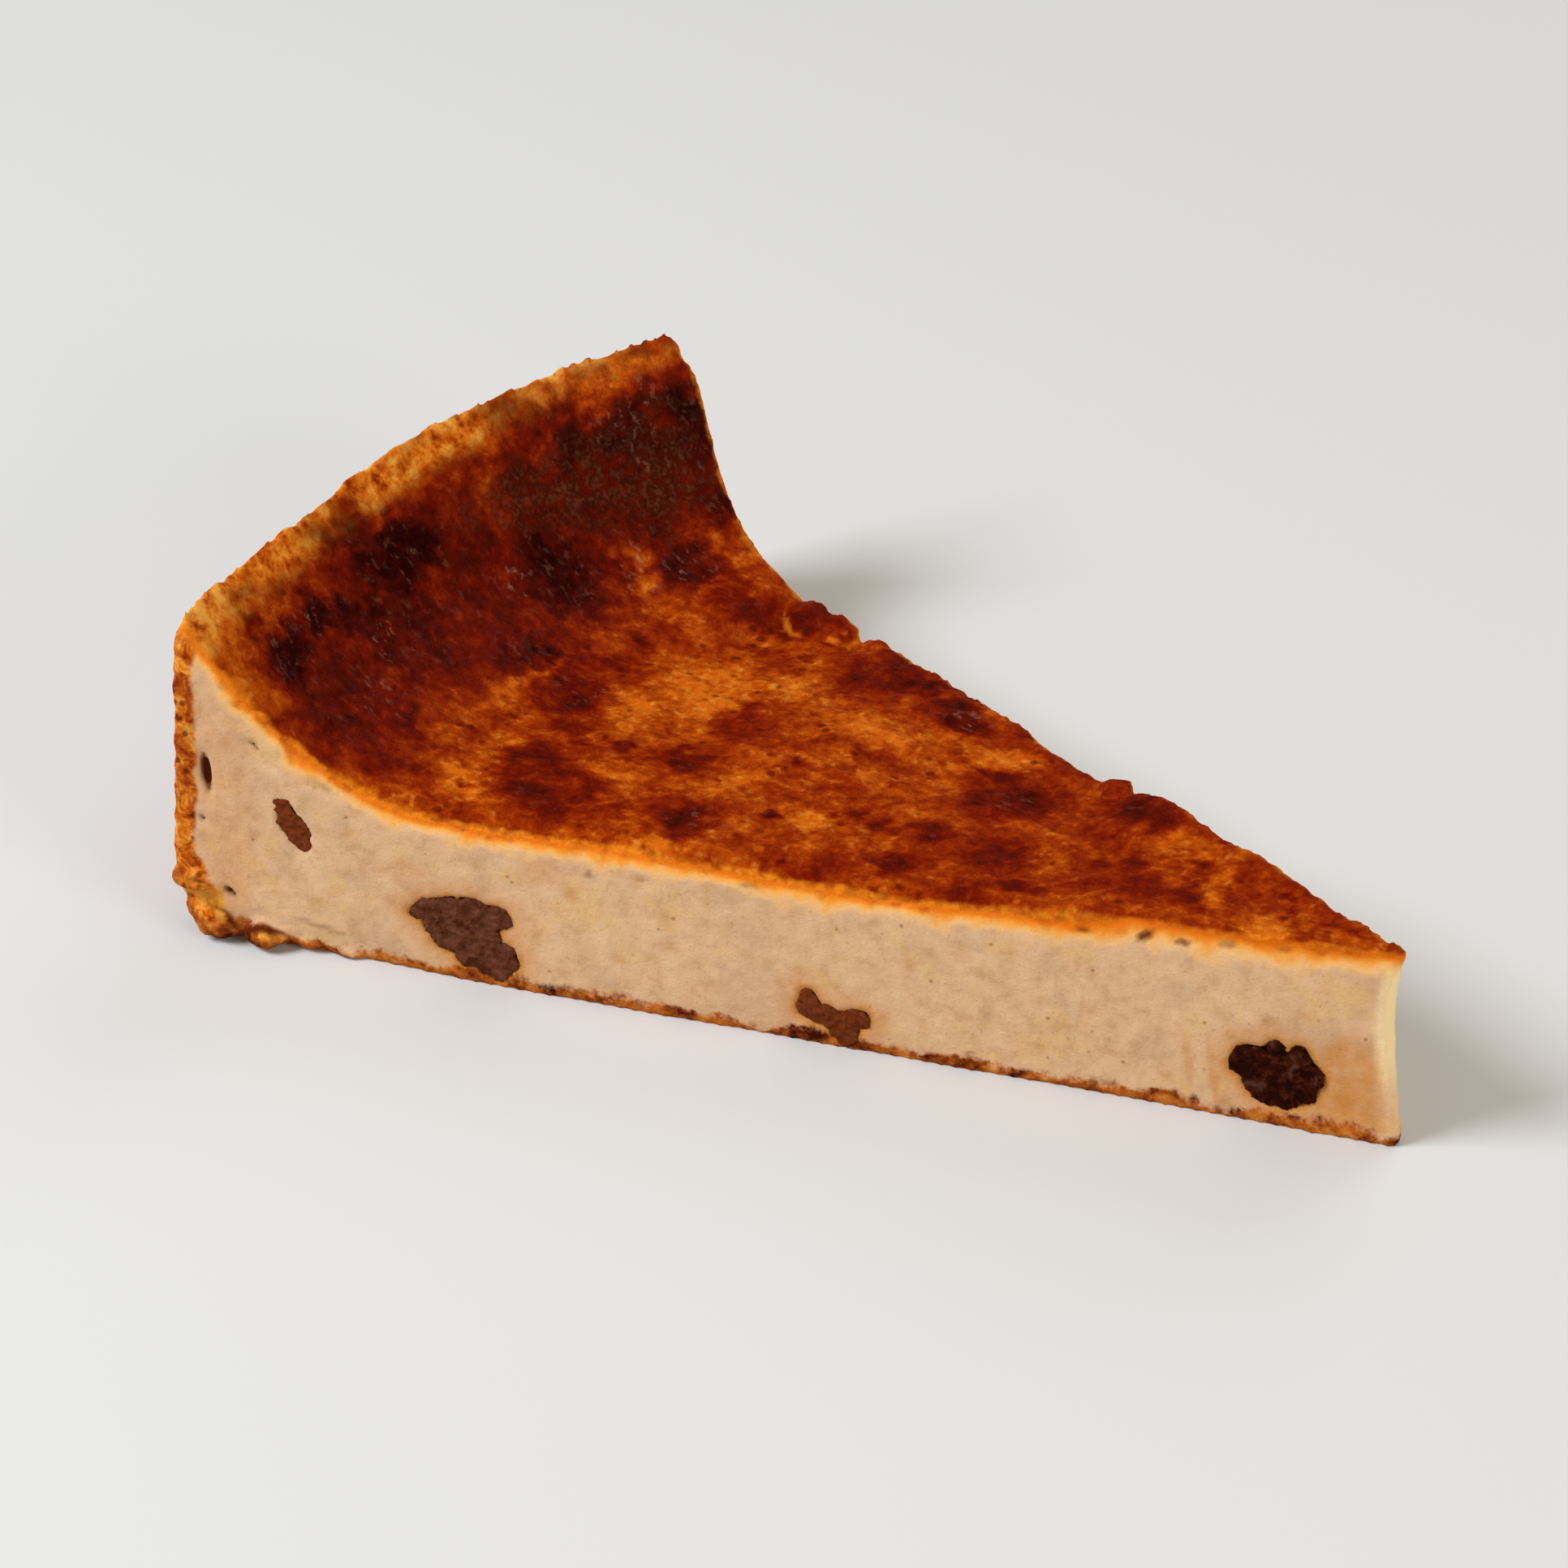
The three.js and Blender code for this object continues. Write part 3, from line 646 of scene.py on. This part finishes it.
class Recipe:
    """One material, whose nodes are added and wired from left to right."""

    def __init__(self, name):
        self.material = bpy.data.materials.new(name)
        self.material.use_nodes = True
        self.tree = self.material.node_tree
        self.tree.nodes.clear()
        coordinates = self.node("ShaderNodeTexCoord")
        mapping = self.node("ShaderNodeMapping", {"Vector": coordinates.outputs["Object"], "Scale": (1 / MM,) * 3})
        self.place = mapping.outputs["Vector"]

    def node(self, kind, sockets=None, **settings):
        made = self.tree.nodes.new(kind)
        made.location = (180 * len(self.tree.nodes), 0)
        for name, value in settings.items():
            setattr(made, name, value)
        for name, value in (sockets or {}).items():
            self.fill(made.inputs[name], value)
        return made

    def fill(self, socket, value):
        if isinstance(value, bpy.types.NodeSocket):
            self.tree.links.new(value, socket)
        elif isinstance(value, (int, float)):
            socket.default_value = value
        else:
            given = tuple(value)
            socket.default_value = given + (1,) if socket.type == "RGBA" and len(given) == 3 else given

    def noise(self, size, detail=3, roughness=0.5, distortion=0, place=None):
        made = self.node(
            "ShaderNodeTexNoise",
            {
                "Vector": place or self.place, "Scale": 1 / size, "Detail": detail, "Roughness": roughness,
                "Distortion": distortion,
            },
        )
        return made.outputs["Fac"]

    def cells(self, size):
        """How far each place is from the middle of its cell."""
        made = self.node("ShaderNodeTexVoronoi", {"Vector": self.place, "Scale": 1 / size})
        return made.outputs["Distance"]

    def math(self, operation, first, second=0.0, third=0.0):
        made = self.node("ShaderNodeMath", operation=operation)
        for socket, value in zip(made.inputs, (first, second, third)):
            self.fill(socket, value)
        return made.outputs["Value"]

    def step(self, value, low, high, start=0.0, end=1.0):
        made = self.node(
            "ShaderNodeMapRange",
            {"Value": value, "From Min": low, "From Max": high, "To Min": start, "To Max": end},
            interpolation_type="SMOOTHSTEP",
        )
        return made.outputs["Result"]

    def swing(self, value, by):
        """A noise, which is about 0.5, as a number about 0 that swings by that much each way."""
        return self.math("MULTIPLY_ADD", value, 2.0 * by, -1.0 * by)

    def total(self, *values):
        whole = values[0]
        for value in values[1:]:
            whole = self.math("ADD", whole, value)
        return whole

    def product(self, *values):
        whole = values[0]
        for value in values[1:]:
            whole = self.math("MULTIPLY", whole, value)
        return whole

    def mix(self, share, first, second):
        made = self.node("ShaderNodeMix", data_type="RGBA", clamp_factor=True)
        self.fill(made.inputs[0], share)
        self.fill(made.inputs[6], first)
        self.fill(made.inputs[7], second)
        return made.outputs[2]

    def ramp(self, value, stops):
        made = self.node("ShaderNodeValToRGB", {"Fac": value})
        elements = made.color_ramp.elements
        while len(elements) < len(stops):
            elements.new(0.5)
        for element, (position, colour) in zip(elements, stops):
            element.position = position
            element.color = tuple(colour) + (1,)
        return made.outputs["Color"]

    def stored(self, name):
        return self.node("ShaderNodeAttribute", attribute_name=name).outputs["Fac"]

    def height(self):
        return self.node("ShaderNodeSeparateXYZ", {"Vector": self.place}).outputs["Z"]

    def stretched(self, by):
        """The place, with patterns drawn out along the slope that climbs to the rim."""
        made = self.node("ShaderNodeMapping", {"Vector": self.place, "Scale": (1 / by, 1, 1 / by)})
        return made.outputs["Vector"]

    def bump(self, height, distance):
        made = self.node("ShaderNodeBump", {"Height": height, "Distance": distance, "Strength": 1})
        return made.outputs["Normal"]

    def finish(self, **sockets):
        shader = self.node(
            "ShaderNodeBsdfPrincipled", {name.replace("_", " "): value for name, value in sockets.items()}
        )
        self.node("ShaderNodeOutputMaterial", {"Surface": shader.outputs["BSDF"]})
        return self.material


def crumb_colour(recipe, colours):
    """Pale crumb with duller and warmer patches, soft brown blots, and a few specks of spice."""
    patches = recipe.noise(6, detail=3, distortion=0.4)
    colour = recipe.mix(recipe.step(patches, 0.48, 0.62), colours.crumb, colours.crumb_grey)
    warm = recipe.noise(4.5, detail=4, roughness=0.6)
    colour = recipe.mix(recipe.step(warm, 0.5, 0.68, 0, 0.9), colour, colours.crumb_yellow)
    mottle = recipe.noise(1.9, detail=4, roughness=0.6)
    colour = recipe.mix(recipe.step(mottle, 0.48, 0.74, 0, 0.5), colour, CRUMB_MOTTLE)
    colour = recipe.mix(recipe.step(mottle, 0.5, 0.28, 0, 0.4), colour, CRUMB_LIGHT)
    blots = recipe.product(recipe.step(recipe.cells(3.4), 0.42, 0.08), recipe.step(recipe.noise(5), 0.52, 0.64))
    colour = recipe.mix(recipe.math("MULTIPLY", blots, 0.5), colour, CRUMB_BLOT)
    grains = recipe.step(recipe.noise(0.5, detail=3, roughness=0.6), 0.58, 0.7)
    colour = recipe.mix(recipe.math("MULTIPLY", grains, 0.25), colour, CRUMB_GRAIN)
    specks = recipe.product(recipe.step(recipe.cells(1.4), 0.2, 0.09), recipe.step(recipe.noise(2.3), 0.54, 0.62))
    return recipe.mix(recipe.math("MULTIPLY", specks, 0.55), colour, SPICE)


def skin_colour(recipe, colours):
    """Baked skin from golden to char, by how far each place is browned."""
    browned = recipe.total(
        recipe.stored("browning"),
        recipe.swing(recipe.noise(3.2, detail=4, roughness=0.55, distortion=0.3), 0.42),
        recipe.swing(recipe.noise(1.1, detail=4, roughness=0.6), 0.34),
        recipe.swing(recipe.noise(0.45, detail=2), 0.12),
    )
    colour = recipe.ramp(
        browned,
        [
            (0.0, colours.golden), (0.2, colours.amber), (0.38, RUDDY_SKIN), (0.56, colours.brown),
            (0.76, colours.scorch), (1.0, colours.char),
        ],
    )
    clump = recipe.step(recipe.noise(1.0, detail=3), 0.5, 0.68)
    pale = recipe.product(clump, recipe.step(browned, 0.4, 0.05), 0.45)
    colour = recipe.mix(pale, colour, SKIN_CLUMP)
    spotted = recipe.step(recipe.noise(4, detail=1), 0.5, 0.58)
    spots = recipe.product(recipe.step(recipe.cells(2.1), 0.3, 0.14), spotted, 0.75)
    colour = recipe.mix(spots, colour, SKIN_SPOT)
    coarse = recipe.noise(1.7, detail=4, roughness=0.65)
    bright = recipe.ramp(coarse, [(0.33, RIM_BROWN), (0.43, RIM_RED), (0.53, colours.rim), (0.65, RIM_YELLOW)])
    gilded = recipe.product(recipe.stored("gold"), recipe.step(coarse, 0.36, 0.56, 0.2, 0.95))
    bright = recipe.mix(gilded, bright, RIM_GILT)
    colour = recipe.mix(recipe.math("MAXIMUM", recipe.stored("rim"), gilded), colour, bright)
    # Ash and painted sheen over the far scorched skin
    film_and_sheen = recipe.product(recipe.stored("ash"), recipe.step(recipe.noise(1.1, detail=3), 0.38, 0.58))
    streaky_ash_sheen = recipe.mix(recipe.step(recipe.noise(0.5, detail=3), 0.45, 0.62), DARK_ASH_SHEEN, LIGHT_ASH_SHEEN)
    colour = recipe.mix(recipe.math("MULTIPLY", film_and_sheen, 0.8), colour, streaky_ash_sheen)
    # Painted highlights: pinkish glints painted into the colour of the scorched skin
    glint_flecks = recipe.step(recipe.noise(0.75, detail=3, roughness=0.6, place=recipe.stretched(1.6)), 0.54, 0.66)
    shining = recipe.product(glint_flecks, recipe.step(recipe.noise(2), 0.42, 0.58), recipe.stored("glint"), 0.7)
    return recipe.mix(shining, colour, GLINT)


def crust_colour(recipe):
    """The wall's crust: orange and brown in coarse mottles, with dark pits."""
    coarse = recipe.noise(1.8, detail=5, roughness=0.7, distortion=0.5)
    colour = recipe.ramp(coarse, CRUST_TONES)
    near_foot = recipe.step(recipe.height(), 8, 4)
    flakes = recipe.product(recipe.step(recipe.noise(2.2, detail=3), 0.48, 0.58), near_foot)
    colour = recipe.mix(recipe.math("MULTIPLY", flakes, 0.75), colour, CRUST_FLAKE)
    pits = recipe.step(recipe.cells(1.4), 0.34, 0.12)
    colour = recipe.mix(recipe.math("MULTIPLY", pits, 0.8), colour, CRUST_PIT)
    broad = recipe.step(recipe.noise(9, detail=3), 0.42, 0.62, 0, 0.7)
    return recipe.mix(broad, colour, CRUST_BROWN)


def pudding_material(colours, sizes):
    recipe = Recipe("baked_pudding")
    under_skin = recipe.stored("under_skin")
    from_cut = recipe.stored("from_cut")
    from_wall = recipe.stored("from_wall")
    ragged = recipe.swing(recipe.noise(1.2, detail=3), 0.3)
    uneven = recipe.swing(recipe.noise(3.2, detail=2), 0.8)

    crumb = crumb_colour(recipe, colours)
    stain = recipe.product(recipe.stored("stain"), recipe.step(recipe.noise(1.6, detail=4), 0.25, 0.6, 0.6, 1))
    crumb = recipe.mix(stain, crumb, colours.tan)
    skin = skin_colour(recipe, colours)
    mellow = recipe.stored("mellow")
    lit = recipe.product(
        recipe.step(recipe.total(from_cut, ragged, uneven), 0.7, -0.1), recipe.step(mellow, 0, 1, 0.55, 0.9),
        recipe.step(recipe.noise(1.0, detail=4), 0.4, 0.6, 0.5, 1),
    )
    skin = recipe.mix(lit, skin, LIT_EDGE)
    thinned = recipe.math("MAXIMUM", recipe.total(1.0, ragged, uneven), 0.4)
    depth = recipe.product(under_skin, thinned, recipe.step(mellow, 0, 1, 0.72, 1.05))
    dull = recipe.step(recipe.noise(1.9, detail=4, roughness=0.6), 0.5, 0.66, 0, 0.75)
    orange = recipe.mix(dull, colours.edge_orange, DULL_ORANGE)
    towards_tip = recipe.step(mellow, 0.8, 0.1, 0, 0.7)
    orange = recipe.mix(towards_tip, orange, TIP_ORANGE)
    yellow = recipe.mix(recipe.math("MULTIPLY", dull, 0.7), colours.edge_yellow, DULL_YELLOW)
    yellow = recipe.mix(towards_tip, yellow, TIP_YELLOW)
    colour = recipe.mix(recipe.step(depth, 0.05, 0.55), skin, orange)
    colour = recipe.mix(recipe.step(depth, 0.4, 1.2), colour, yellow)
    colour = recipe.mix(recipe.step(depth, 0.8, 1.8), colour, colours.edge_cream)
    colour = recipe.mix(recipe.step(depth, 1.2, 2.6), colour, crumb)
    # Painted light on the blunt tip
    colour = recipe.mix(recipe.stored("tip"), colour, PAINTED_TIP_LIGHT)

    crust = crust_colour(recipe)
    into_wall = recipe.total(from_wall, ragged, uneven)
    thickness = sizes.crust_thickness / MM
    in_crust = recipe.step(into_wall, thickness + 0.3, thickness - 0.3)
    below_top = recipe.step(under_skin, 0.2, 1.2)
    torn = recipe.math("MAXIMUM", recipe.product(in_crust, below_top), recipe.stored("torn"))
    colour = recipe.mix(torn, colour, crust)

    into_base = recipe.total(
        recipe.height(), recipe.swing(recipe.noise(1.2, detail=5, roughness=0.65), 1.3),
        recipe.swing(recipe.noise(5, detail=2), 1.6), recipe.math("MULTIPLY", recipe.stored("ledge"), -1.6),
    )
    base = recipe.ramp(recipe.noise(2.4, detail=5, roughness=0.65), BASE_TONES)
    colour = recipe.mix(recipe.step(into_base, 1.7, 0.8), colour, base)

    # Painted shade in the hollows and slits of the cuts
    dark = recipe.math("MAXIMUM", recipe.stored("hollow"), recipe.stored("slit"))
    colour = recipe.mix(dark, colour, HOLLOW_SHADE)

    on_skin = recipe.step(under_skin, 0.9, 0.2)
    scorched = recipe.product(recipe.step(recipe.stored("browning"), 0.45, 0.85), on_skin)
    skin_relief = recipe.total(
        recipe.noise(1.0, detail=5, roughness=0.7),
        recipe.math("MULTIPLY", recipe.noise(0.4, detail=3, distortion=1), 0.5),
    )
    rough = recipe.total(recipe.math("MULTIPLY", on_skin, 0.3), scorched, 0.3)
    normal = recipe.bump(recipe.product(skin_relief, rough), 0.45 * MM)
    wet = recipe.product(scorched, recipe.step(recipe.noise(0.9, detail=3), 0.5, 0.66), 0.07)
    return recipe.finish(
        Base_Color=colour, Roughness=0.6, Normal=normal, Specular_IOR_Level=0.01,
        Coat_Weight=recipe.math("MAXIMUM", wet, recipe.math("MULTIPLY", on_skin, 0.01)), Coat_Roughness=0.22,
        Subsurface_Weight=0.12, Subsurface_Radius=(1.0, 0.45, 0.2), Subsurface_Scale=1.2 * MM,
    )


def raisin_material(colours):
    recipe = Recipe("raisin")
    patchy = recipe.noise(1.2, detail=4, roughness=0.6)
    flesh = recipe.mix(recipe.step(patchy, 0.5, 0.64), colours.flesh, FLESH_DARK)
    flesh = recipe.mix(recipe.step(patchy, 0.46, 0.34, 0, 0.7), flesh, FLESH_LIGHT)
    flesh = recipe.mix(recipe.step(recipe.stored("skin"), 0.0, 0.5, 0, 0.75), flesh, colours.skin)
    flesh = recipe.mix(recipe.math("MULTIPLY", recipe.stored("warm"), 0.75), flesh, FLESH_RED)
    ripe = recipe.mix(recipe.step(patchy, 0.4, 0.6), RIPE_DARK, RIPE_EDGE)
    colour = recipe.mix(recipe.stored("ripe"), flesh, ripe)
    wrinkles = recipe.noise(0.6, detail=4, roughness=0.6, distortion=0.8)
    moist = recipe.product(recipe.stored("ripe"), recipe.step(patchy, 0.56, 0.62), 0.5)
    return recipe.finish(
        Base_Color=colour, Roughness=0.5, Normal=recipe.bump(wrinkles, 0.4 * MM), Specular_IOR_Level=0.02,
        Coat_Weight=moist, Coat_Roughness=0.15,
        Subsurface_Weight=0.05, Subsurface_Radius=(1.0, 0.4, 0.3), Subsurface_Scale=0.6 * MM,
    )


# Pieces


class PUDDING_OT_slice(bpy.types.Operator):
    """Make the baked pudding, with its browned top, crust, cuts and torn edges"""

    bl_idname = "pudding.slice"
    bl_label = "Pudding"

    def execute(self, context):
        sizes = context.scene.pudding_sizes
        piece = copy_of_node("pudding", "pudding_slice")
        surfaces = Surfaces(piece)
        remesh(piece, sizes.grain)
        modify(piece, "SMOOTH", factor=0.5, iterations=2)

        points = points_of(piece)
        under_skin = surfaces.distances("top", points)
        from_wall = surfaces.distances("wall", points)
        from_cut = surfaces.distances("cut", points)
        scorched = marks(points, SCORCHES)
        on_top = 1 - smooth(under_skin, 0.1, 0.8)
        on_wall = 1 - smooth(from_wall, 0.2, 1.0)
        on_cut = (1 - smooth(from_cut, 0.1, 0.4)) * smooth(under_skin, 0.4, 1.2)
        edge = on_top * (1 - smooth(from_cut, 0.4, 1.6))
        off_base = smooth(points[:, 2], 0.05, 0.8)
        displace(piece, on_top * (1 - 0.6 * edge), clouds("blister", 2.6 * MM, 3), sizes.blister)
        displace(piece, on_top * smooth(scorched, 0.3, 0.8), ridges("wrinkle", 0.95 * MM), sizes.wrinkle, 0.6)
        displace(piece, on_top * (1 - 0.5 * edge), pocks("pock", 1.7 * MM), sizes.pock_depth, 1.0)
        displace(piece, edge * off_base, clouds("ragged_edge", 1.3 * MM, 3), sizes.raggedness)
        displace(piece, on_wall * off_base, clouds("crust", 1.6 * MM, 3), sizes.crust_bump)
        displace(piece, on_wall * off_base, pocks("crust_pit", 2.3 * MM), sizes.pock_depth, 1.0)
        displace(piece, on_cut * off_base, clouds("crumb", 1.3 * MM, 3), sizes.crumb_bump)

        points = points_of(piece)
        points[:, 2] = np.maximum(points[:, 2], 0)
        set_points(piece, points)
        blotched = marks(points, BLOTCHES)
        along, across = plan(points)
        pale = marks(points, PALE_PLACES)
        rim = smooth(along, RIM_FROM, RIM_TO) * (1 - 0.6 * smooth(across, 0.62, 0.8))
        rim *= 1 - marks(points, RIM_DARKS)
        ground = 0.33 + 0.14 * grained(points, 7, 1.7) + 0.06 * smooth(points[:, 0], 0, 16) - 0.3 * pale
        browning = 1 - (1 - ground) * (1 - np.maximum(blotched, scorched * (1 - 0.7 * rim)))
        store(piece, "browning", browning)
        store(piece, "ash", marks(points, ASH_AND_SHEEN) * (1 - rim))
        store(piece, "rim", rim)
        store(piece, "gold", marks(points, RIM_GOLDS))
        store(piece, "glint", np.maximum(marks(points, GLINTS), 0.22 * smooth(browning, 0.5, 0.8)))
        up = points[:, 2]
        # Hollows in the cuts, which get painted shade
        hollow = smooth(from_cut, 0.25, 0.7) * smooth(under_skin, 0.3, 0.9) * smooth(from_wall, 0.5, 1.5)
        store(piece, "hollow", hollow * smooth(up, 0.3, 0.8) * (along > TIP_REACH))
        share = np.clip(up / TIP_HEIGHT, 0, 1)
        # The tip's edge bows with the height, and its foot reaches out
        from_edge = along - 0.35 - 1.2 * np.sin(np.pi * share**1.6) + 0.8 * (1 - share) ** 2
        # Painted light: the blunt tip's face and a thin strip beside it are painted pale, for the light that
        # shines through the thin tip
        tip_light_share = (0.25 + 0.7 * smooth(up, 3, 10)) * smooth(under_skin, 1, 3)
        store(piece, "tip", (1 - smooth(from_edge, 0.1, 1.5)) * tip_light_share)
        at_rim = smooth(along, TORN_FROM, TORN_FROM + 2)
        store(piece, "torn", smooth(beyond_cuts(points), 0.22, 0.6) * (up < SKIN_ABOVE) * at_rim)
        store(piece, "ledge", smooth(along, 97, 113))
        store(piece, "mellow", smooth(along, 18, 52))
        store(piece, "under_skin", under_skin)
        store(piece, "from_wall", from_wall)
        store(piece, "from_cut", from_cut)
        store(piece, "slit", cut_marks(points, SLIT_SHADES) * on_cut)
        store(piece, "stain", np.maximum(cut_marks(points, TINTS), halos(points)))

        piece.data.materials.append(pudding_material(context.scene.pudding_colours, sizes))
        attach(piece, "root")
        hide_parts("pudding")
        return {"FINISHED"}


class PUDDING_OT_raisins(bpy.types.Operator):
    """Make the raisins that the knife opened, each in its pocket"""

    bl_idname = "pudding.raisins"
    bl_label = "Raisins"

    def execute(self, context):
        material = raisin_material(context.scene.raisin_colours)
        for node in sorted(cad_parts):
            if not node.startswith("raisin_"):
                continue
            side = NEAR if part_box(node)[0].y < 0 else FAR
            piece = copy_of_node(node, node + "_flesh")
            remesh(piece, 0.14 * MM)
            points = points_of(piece)
            outward = np.array(out_of_cut(side))
            level = points @ outward
            buried = smooth(level.max() - level, 0.1, 0.8)
            normals = normals_of(piece)
            sideways = normals - np.outer(normals @ outward, outward)
            ragged = np.maximum(0.45 + 0.6 * grained(points, 1.2, 2.3) + 0.35 * grained(points, 0.45, 6.1), 0.3)
            points += ragged[:, None] * sideways
            points += np.outer((1 - buried) * (0.22 + 0.2 * grained(points, 1.4, 8.8)), outward)
            set_points(piece, points)
            everywhere = np.ones(len(points))
            displace(piece, everywhere, ridges("raisin_wrinkle", 0.9 * MM), 0.3 * MM)
            displace(piece, everywhere, clouds("raisin_grain", 0.35 * MM, 2), 0.15 * MM)
            store(piece, "skin", buried)
            ripe, warm = RAISIN_FLESH[node]
            store(piece, "ripe", np.full(len(points), ripe))
            store(piece, "warm", np.full(len(points), warm))
            piece.data.materials.append(material)
            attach(piece, "root")
            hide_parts(node)
        return {"FINISHED"}


SKY_COLOUR = (1, 0.88, 0.64)
# Name, place in metres, size in metres, power in watts and colour
LIGHTS = [
    ("key", (-0.42, -0.48, 0.62), 0.35, 7.0, (0.93, 0.965, 1)),
    ("window", (0.0, 0.6, 0.5), 0.5, 1.3, (0.95, 0.97, 1)),
    ("fill", (0.6, -0.1, 0.25), 0.3, 1.4, (1, 0.93, 0.8)),
]


def area_light(name, away, size, power, colour):
    """A soft square light that looks at the slice."""
    data = bpy.data.lights.new(name, "AREA")
    data.size = size
    data.energy = power
    data.color = colour
    light = bpy.data.objects.new(name, data)
    light.location = away
    light.rotation_euler = (-Vector(away)).to_track_quat("-Z", "Y").to_euler()
    bpy.context.scene.collection.objects.link(light)


class PUDDING_OT_stage(bpy.types.Operator):
    """Make the floor, the soft studio light and the camera"""

    bl_idname = "pudding.stage"
    bl_label = "Stage"

    def execute(self, context):
        settings = context.scene.stage_settings
        deselect_all()
        bpy.ops.mesh.primitive_plane_add(size=8)
        floor = context.object
        floor.name = "floor"
        recipe = Recipe("floor")
        floor.data.materials.append(
            recipe.finish(Base_Color=tuple(settings.floor), Roughness=0.6, Specular_IOR_Level=0.3)
        )

        world = bpy.data.worlds.new("studio")
        world.use_nodes = True
        background = world.node_tree.nodes["Background"]
        background.inputs["Color"].default_value = SKY_COLOUR + (1,)
        background.inputs["Strength"].default_value = settings.sky
        context.scene.world = world
        for light in LIGHTS:
            area_light(*light)

        lens = bpy.data.cameras.new("camera")
        lens.lens = settings.lens
        lens.sensor_width = 36
        lens.clip_start = 0.01
        lens.clip_end = 20
        camera = bpy.data.objects.new("camera", lens)
        camera.location = APEX + Vector(settings.eye)
        level = math.cos(settings.dip)
        turn = settings.heading
        look = Vector((-math.sin(turn) * level, math.cos(turn) * level, -math.sin(settings.dip)))
        camera.rotation_euler = look.to_track_quat("-Z", "Y").to_euler()
        context.scene.collection.objects.link(camera)
        context.scene.camera = camera
        context.scene.view_settings.view_transform = "Standard"
        return {"FINISHED"}


class PUDDING_PT_panel(bpy.types.Panel):
    """The slice's operators and settings"""

    bl_label = "Bread pudding"
    bl_idname = "PUDDING_PT_panel"
    bl_space_type = "VIEW_3D"
    bl_region_type = "UI"
    bl_category = "Pudding"

    def draw(self, context):
        for name, (group, _) in GROUPS.items():
            box = self.layout.box()
            for key in group.__annotations__:
                box.prop(getattr(context.scene, name), key)
        for operator in OPERATORS:
            self.layout.operator(operator.bl_idname)


GROUPS = {
    "pudding_sizes": (PuddingSizes, "Sizes of the slice"),
    "pudding_colours": (PuddingColours, "Colours of the slice"),
    "raisin_colours": (RaisinColours, "Colours of the raisins"),
    "stage_settings": (StageSettings, "Camera, floor and light"),
}
OPERATORS = (PUDDING_OT_slice, PUDDING_OT_raisins, PUDDING_OT_stage)


def register():
    for name, (group, description) in GROUPS.items():
        bpy.utils.register_class(group)
        setattr(bpy.types.Scene, name, bpy.props.PointerProperty(type=group, description=description))
    for operator in OPERATORS:
        bpy.utils.register_class(operator)
    bpy.utils.register_class(PUDDING_PT_panel)


def unregister():
    bpy.utils.unregister_class(PUDDING_PT_panel)
    for operator in reversed(OPERATORS):
        bpy.utils.unregister_class(operator)
    for name, (group, _) in GROUPS.items():
        delattr(bpy.types.Scene, name)
        bpy.utils.unregister_class(group)


def main():
    register()
    bpy.ops.pudding.slice()
    bpy.ops.pudding.raisins()
    bpy.ops.pudding.stage()


if __name__ == "__main__":
    main()
